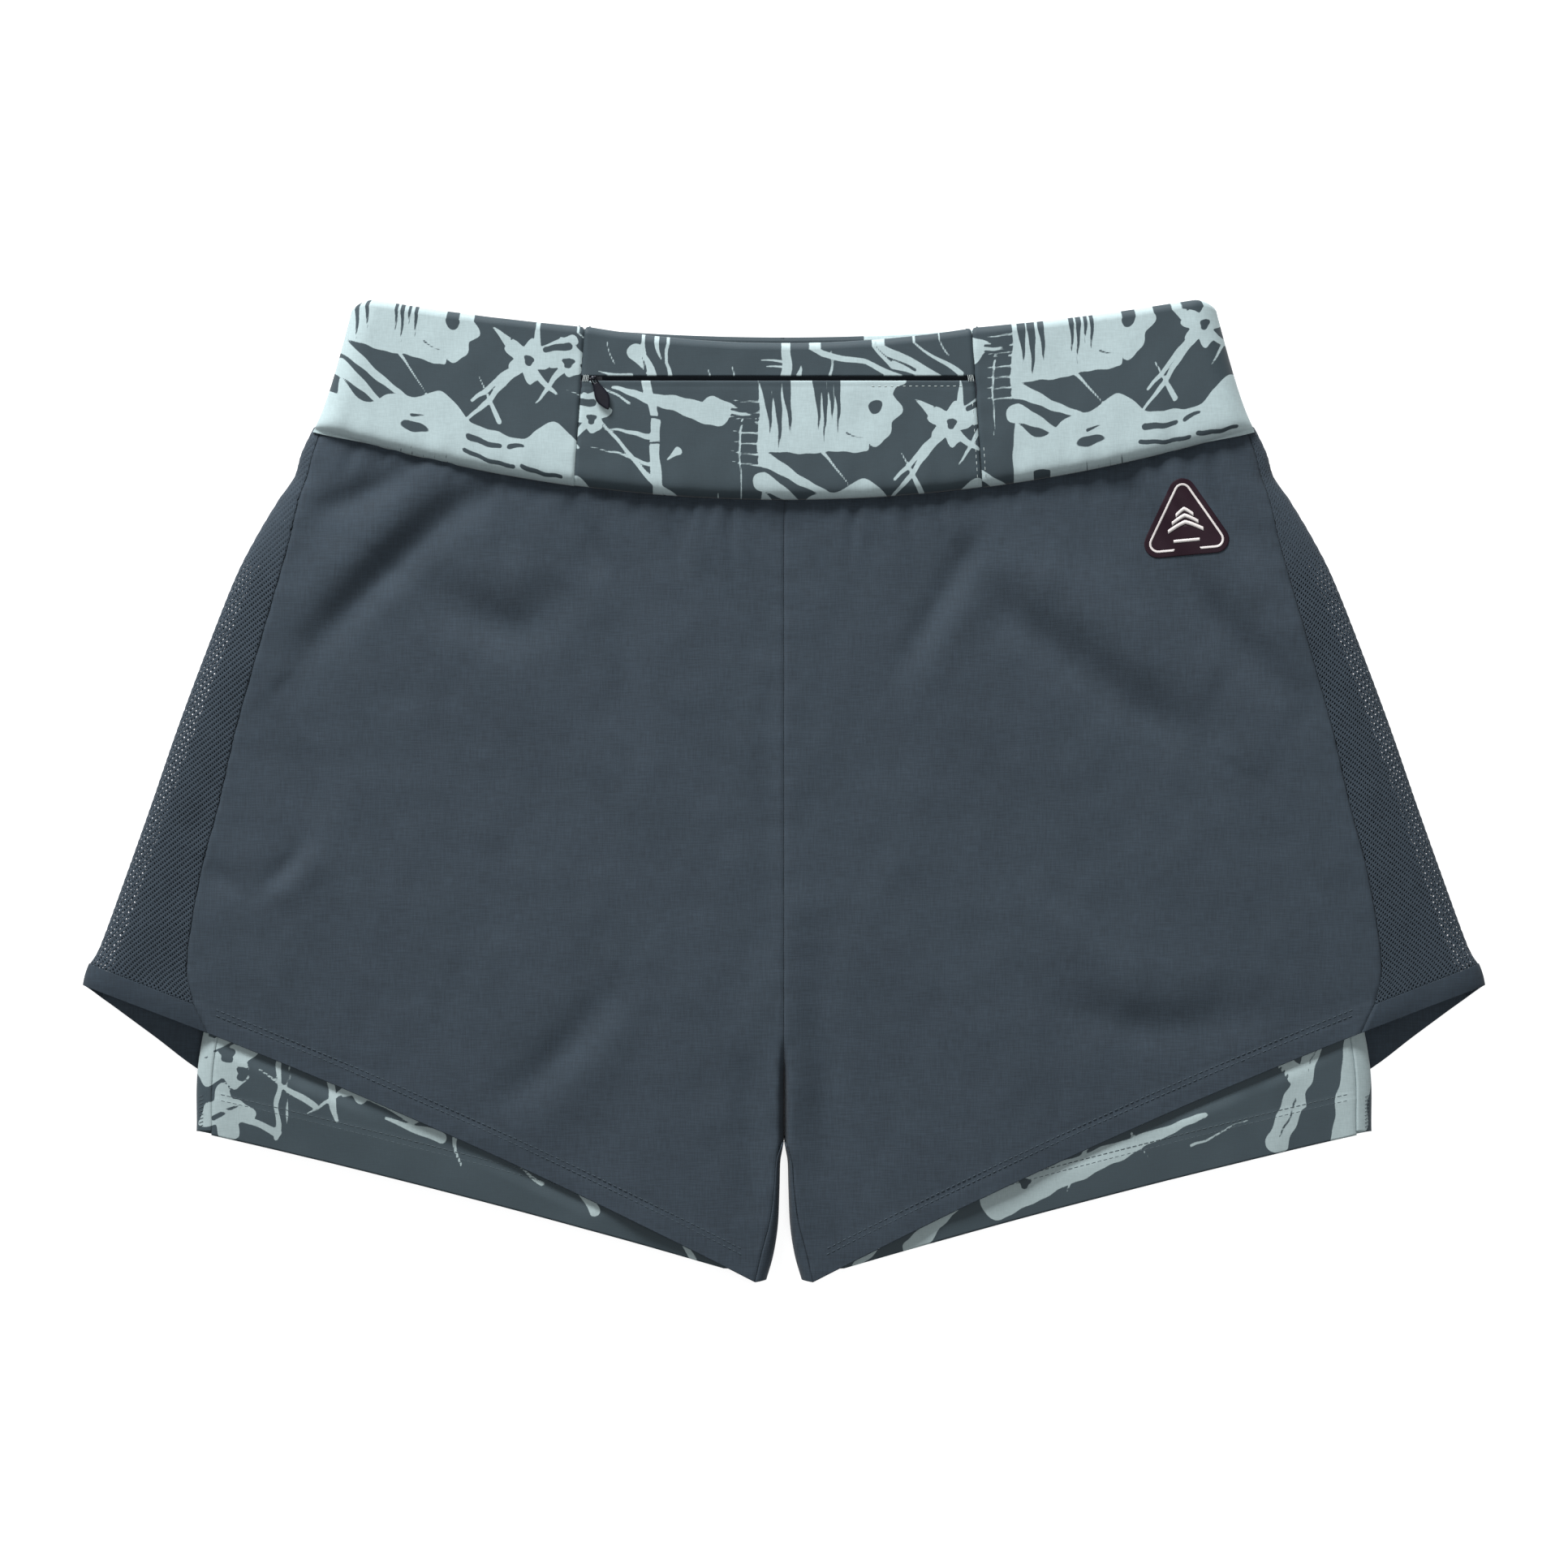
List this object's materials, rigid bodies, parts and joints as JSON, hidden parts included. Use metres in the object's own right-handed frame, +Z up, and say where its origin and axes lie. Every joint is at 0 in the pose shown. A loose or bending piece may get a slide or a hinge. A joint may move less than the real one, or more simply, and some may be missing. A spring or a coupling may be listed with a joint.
{
  "type": "two-in-one sports shorts",
  "caption": "Loose woven sports shorts with mesh sides over printed stretch inner shorts, sewn to a wide waistband with a zipped front pocket, lying flat.",
  "frame": {"origin": "centre of the flat garment's outline, on the surface that its back lies on", "axes": "+X to the wearer's left, +Y to the waist, +Z up, out of the garment's front"},
  "size_m": [0.6056, 0.4252, 0.0225],
  "materials": {
    "woven": "matt plain-weave polyester",
    "mesh": "matt open mesh",
    "print": "soft satin stretch knit with a two-tone print",
    "lining": "matt stretch knit",
    "pocket_cloth": "matt woven",
    "zip_teeth": "satin nylon",
    "zip_metal": "dark satin coating",
    "pull": "satin moulded rubber",
    "badge": "matt heat transfer",
    "badge_print": "matt print",
    "label": "smooth satin tape"
  },
  "bodies": {
    "garment": {"outer_front_left": "woven", "outer_front_right": "woven", "outer_back_left": "woven", "outer_back_right": "woven", "side_hem_band_left": "woven", "side_hem_band_right": "woven", "outer_gusset_left": "woven", "outer_gusset_right": "woven", "mesh_side_left": "mesh", "mesh_side_right": "mesh", "waistband_upper_front": "print", "waistband_pocket_panel": "print", "waistband_side_left": "print", "waistband_side_right": "print", "waist_facing": "print", "inner_front_left": "print", "inner_front_right": "print", "inner_back_left": "print", "inner_back_right": "print", "inner_gusset_left": "print", "inner_gusset_right": "print", "waist_elastic": "lining", "pocket_bag_front": "pocket_cloth", "pocket_bag_back": "pocket_cloth", "zip_tape_upper": "pocket_cloth", "zip_tape_lower": "pocket_cloth", "zip_teeth_upper": "zip_teeth", "zip_teeth_lower": "zip_teeth", "zip_stops": "zip_metal", "badge_patch": "badge", "badge_print": "badge_print", "care_label": "label"},
    "zip_slider": {"zip_slider": "zip_metal"},
    "zip_puller": {"zip_puller": "pull"}
  },
  "joints": [
    {"name": "zip_slide", "type": "slide", "parent": "garment", "child": "zip_slider", "axis": [1, 0, 0], "range_m": [0, 0.158]},
    {"name": "puller_flip", "type": "hinge", "parent": "zip_slider", "child": "zip_puller", "pos_m": [-0.08219, 0.1792, 0.0214], "axis": [-0.8988, -0.4384, 0], "range_deg": [0, 175]}
  ]
}
